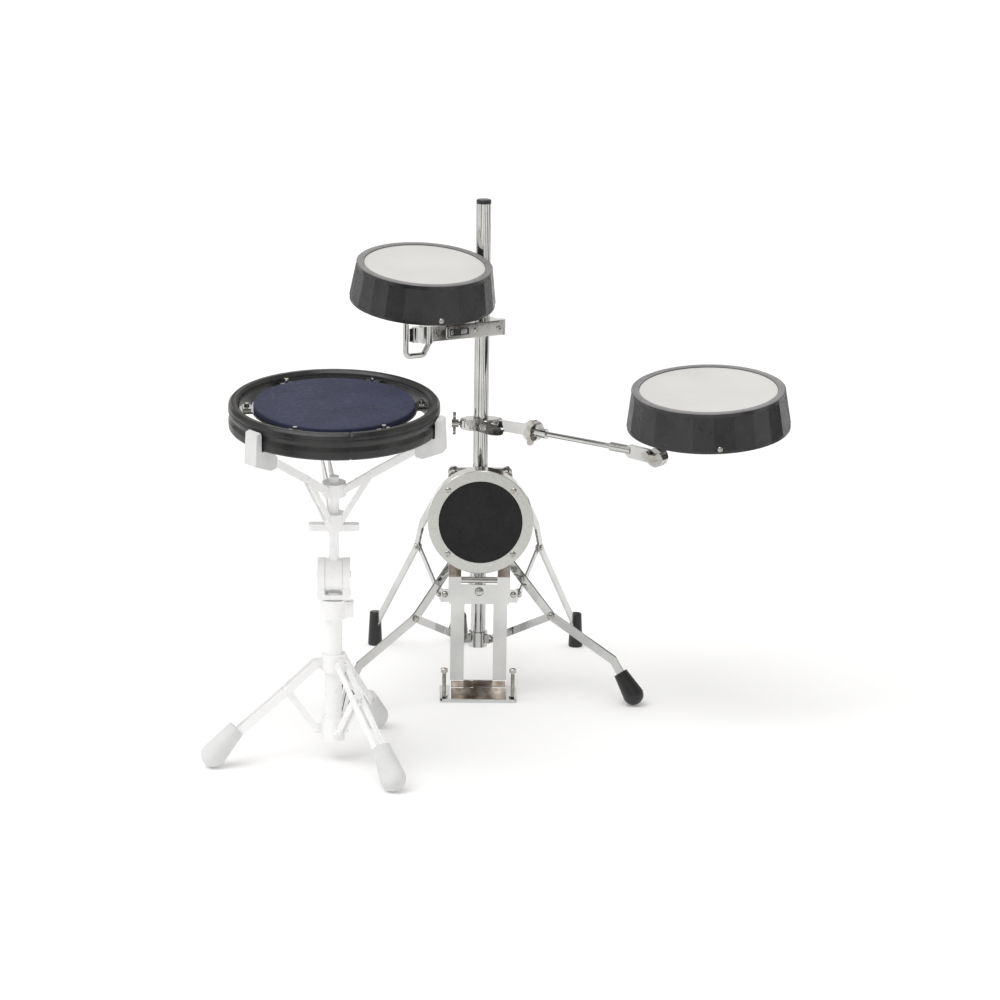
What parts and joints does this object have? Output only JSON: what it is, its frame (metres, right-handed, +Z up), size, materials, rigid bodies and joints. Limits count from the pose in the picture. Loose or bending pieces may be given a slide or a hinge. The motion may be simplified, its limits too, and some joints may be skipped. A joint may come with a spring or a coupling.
{
  "type": "practice pad",
  "caption": "Practice pad set: kick pad and tom pads on a tripod column rack, with a round snare pad held on its own stand.",
  "frame": {"origin": "on the floor, at the middle of the kick base plate's underside", "axes": "+Z up along the column, +Y away from the player, +X to the player's right"},
  "size_m": [0.9731, 0.9594, 0.856],
  "materials": {
    "chrome": "bright plated",
    "steel": "satin plated",
    "black_rubber": "matt",
    "black_plastic": "satin",
    "white_head": "coated film",
    "foam": "foam",
    "blue_pad": "matt, fine texture",
    "white_coat": "satin powder coat",
    "grey_rubber": "matt"
  },
  "bodies": {
    "rack": {"column_tube": "chrome", "column_cap": "black_plastic", "lower_collar": "chrome", "kick_ring": "steel", "kick_shell": "chrome", "kick_foam": "foam", "kick_pad": "black_rubber", "kick_screws": "steel", "kick_bracket": "chrome", "kick_frame": "chrome", "base_plate": "chrome", "frame_screws": "steel", "saddle_clamp": "chrome", "saddle_bolts": "steel", "side_legs": "chrome", "side_braces": "chrome", "side_brackets": "chrome", "side_rivets": "steel", "side_feet": "black_rubber"},
    "hub": {"leg_hub": "chrome"},
    "leg_a": {"leg_1": "chrome", "foot_1": "black_rubber"},
    "leg_b": {"leg_2": "chrome", "foot_2": "black_rubber"},
    "leg_c": {"leg_3": "chrome", "foot_3": "black_rubber"},
    "brace_a": {"brace_1": "chrome"},
    "brace_b": {"brace_2": "chrome"},
    "brace_c": {"brace_3": "chrome"},
    "spike_l": {"spike_left": "steel"},
    "spike_r": {"spike_right": "steel"},
    "fast_clamp_arm": {"fast_clamp": "chrome"},
    "bent_rod": {"l_rod": "chrome"},
    "tom_1": {"tom1_shell": "black_plastic", "tom1_head": "white_head", "tom1_base": "black_plastic"},
    "pipe_clamp": {"lower_clamp": "chrome"},
    "pipe_clamp_bolt": {"clamp_bolt": "steel"},
    "tilter_1": {"tilter_a": "chrome"},
    "tilter_1_bolt": {"wing_bolt_a": "steel"},
    "tom_arm": {"tom2_rod": "chrome", "rod_bracket": "chrome"},
    "tilter_2": {"tilter_b": "chrome"},
    "tilter_2_bolt": {"wing_bolt_b": "steel"},
    "tom_2": {"tom2_shell": "black_plastic", "tom2_head": "white_head", "tom2_base": "black_plastic"},
    "snare_stand": {"stand_tube": "white_coat", "stand_tripod": "white_coat", "stand_feet": "grey_rubber", "height_clamp": "white_coat"},
    "stand_mast": {"stand_mast": "white_coat"},
    "stand_basket": {"basket": "white_coat", "basket_grips": "grey_rubber"},
    "stand_nut": {"basket_nut": "white_coat"},
    "snare": {"snare_hoop": "black_rubber", "snare_plate": "chrome", "snare_pad": "blue_pad", "snare_lugs": "chrome"}
  },
  "joints": [
    {"name": "hub_slide", "type": "slide", "parent": "rack", "child": "hub", "axis": [0, 0, 1], "range_m": [0, 0.03]},
    {"name": "leg_a_fold", "type": "hinge", "parent": "hub", "child": "leg_a", "pos_m": [0.03477, 0.04666, 0.25], "axis": [-0.4035, -0.915, 0], "range_deg": [-8, 0]},
    {"name": "brace_a_fold", "type": "hinge", "parent": "rack", "child": "brace_a", "pos_m": [0.02287, 0.05191, 0.087], "axis": [-0.4035, -0.915, 0], "range_deg": [0, 13]},
    {"name": "leg_b_fold", "type": "hinge", "parent": "hub", "child": "leg_b", "pos_m": [-0.0041, 0.09978, 0.25], "axis": [0.9942, 0.108, 0], "range_deg": [-8, 0]},
    {"name": "brace_b_fold", "type": "hinge", "parent": "rack", "child": "brace_b", "pos_m": [-0.0027, 0.08685, 0.087], "axis": [0.9942, 0.108, 0], "range_deg": [0, 13]},
    {"name": "leg_c_fold", "type": "hinge", "parent": "hub", "child": "leg_c", "pos_m": [-0.03066, 0.03956, 0.25], "axis": [-0.5906, 0.807, 0], "range_deg": [-8, 0]},
    {"name": "brace_c_fold", "type": "hinge", "parent": "rack", "child": "brace_c", "pos_m": [-0.02017, 0.04723, 0.087], "axis": [-0.5906, 0.807, 0], "range_deg": [0, 13]},
    {"name": "spike_left_screw", "type": "slide", "parent": "rack", "child": "spike_l", "axis": [0, 0, 1], "range_m": [0, 0.02]},
    {"name": "spike_right_screw", "type": "slide", "parent": "rack", "child": "spike_r", "axis": [0, 0, 1], "range_m": [0, 0.02]},
    {"name": "fast_clamp_turn", "type": "hinge", "parent": "rack", "child": "fast_clamp_arm", "pos_m": [0, 0.062, 0.638], "axis": [0, 0, 1], "range_deg": [-90, 90]},
    {"name": "bent_rod_turn", "type": "hinge", "parent": "fast_clamp_arm", "child": "bent_rod", "pos_m": [-0.10033, -0.0184, 0.602], "axis": [0.4294, 0.2402, 0.8706], "range_deg": [-15, 30]},
    {"name": "tom_1_turn", "type": "hinge", "parent": "bent_rod", "child": "tom_1", "pos_m": [-0.13, -0.035, 0.7], "axis": [0, 0, 1], "range_deg": [-90, 10]},
    {"name": "pipe_clamp_turn", "type": "hinge", "parent": "rack", "child": "pipe_clamp", "pos_m": [0, 0.062, 0.467], "axis": [0, 0, 1], "range_deg": [-45, 90]},
    {"name": "pipe_clamp_bolt_turn", "type": "hinge", "parent": "pipe_clamp", "child": "pipe_clamp_bolt", "pos_m": [-0.04, 0.062, 0.467], "axis": [1, 0, 0], "continuous": true},
    {"name": "tilter_1_turn", "type": "hinge", "parent": "pipe_clamp", "child": "tilter_1", "pos_m": [0.088, 0.002, 0.468], "axis": [-0.5789, -0.8154, 0], "range_deg": [-45, 45]},
    {"name": "tilter_1_bolt_turn", "type": "hinge", "parent": "pipe_clamp", "child": "tilter_1_bolt", "pos_m": [0.088, 0.002, 0.468], "axis": [-0.5789, -0.8154, 0], "continuous": true},
    {"name": "tom_arm_turn", "type": "hinge", "parent": "tilter_1", "child": "tom_arm", "pos_m": [0.08528, -0.00183, 0.468], "axis": [0.8152, -0.5787, -0.0252], "range_deg": [-45, 45]},
    {"name": "tilter_2_turn", "type": "hinge", "parent": "tom_arm", "child": "tilter_2", "pos_m": [0.292, -0.143, 0.457], "axis": [-0.5789, -0.8154, 0], "range_deg": [-60, 10]},
    {"name": "tilter_2_bolt_turn", "type": "hinge", "parent": "tom_arm", "child": "tilter_2_bolt", "pos_m": [0.292, -0.143, 0.457], "axis": [-0.5789, -0.8154, 0], "continuous": true},
    {"name": "tom_2_turn", "type": "hinge", "parent": "tilter_2", "child": "tom_2", "pos_m": [0.29472, -0.13917, 0.493], "axis": [0, 0, 1], "range_deg": [-90, 90]},
    {"name": "stand_move", "type": "slide", "parent": "rack", "child": "snare_stand", "axis": [-1, 0, 0], "range_m": [0, 0.15]},
    {"name": "stand_height", "type": "slide", "parent": "snare_stand", "child": "stand_mast", "axis": [0, 0, 1], "range_m": [0, 0.09]},
    {"name": "basket_tilt", "type": "hinge", "parent": "stand_mast", "child": "stand_basket", "pos_m": [-0.2424, -0.39, 0.314], "axis": [1, 0, 0], "range_deg": [-20, 20]},
    {"name": "basket_nut_turn", "type": "hinge", "parent": "stand_basket", "child": "stand_nut", "pos_m": [-0.2424, -0.39908, 0.39487], "axis": [0, -0.1132, 0.9936], "continuous": true},
    {"name": "snare_lift", "type": "slide", "parent": "stand_basket", "child": "snare", "axis": [0, -0.1132, 0.9936], "range_m": [0, 0.08]}
  ],
  "couplings": [
    {"joint": "leg_a_fold", "follows": "hub_slide", "rad_per_m": -3.52},
    {"joint": "brace_a_fold", "follows": "hub_slide", "rad_per_m": 6.32},
    {"joint": "leg_b_fold", "follows": "hub_slide", "rad_per_m": -3.52},
    {"joint": "brace_b_fold", "follows": "hub_slide", "rad_per_m": 6.32},
    {"joint": "leg_c_fold", "follows": "hub_slide", "rad_per_m": -3.52},
    {"joint": "brace_c_fold", "follows": "hub_slide", "rad_per_m": 6.32}
  ]
}
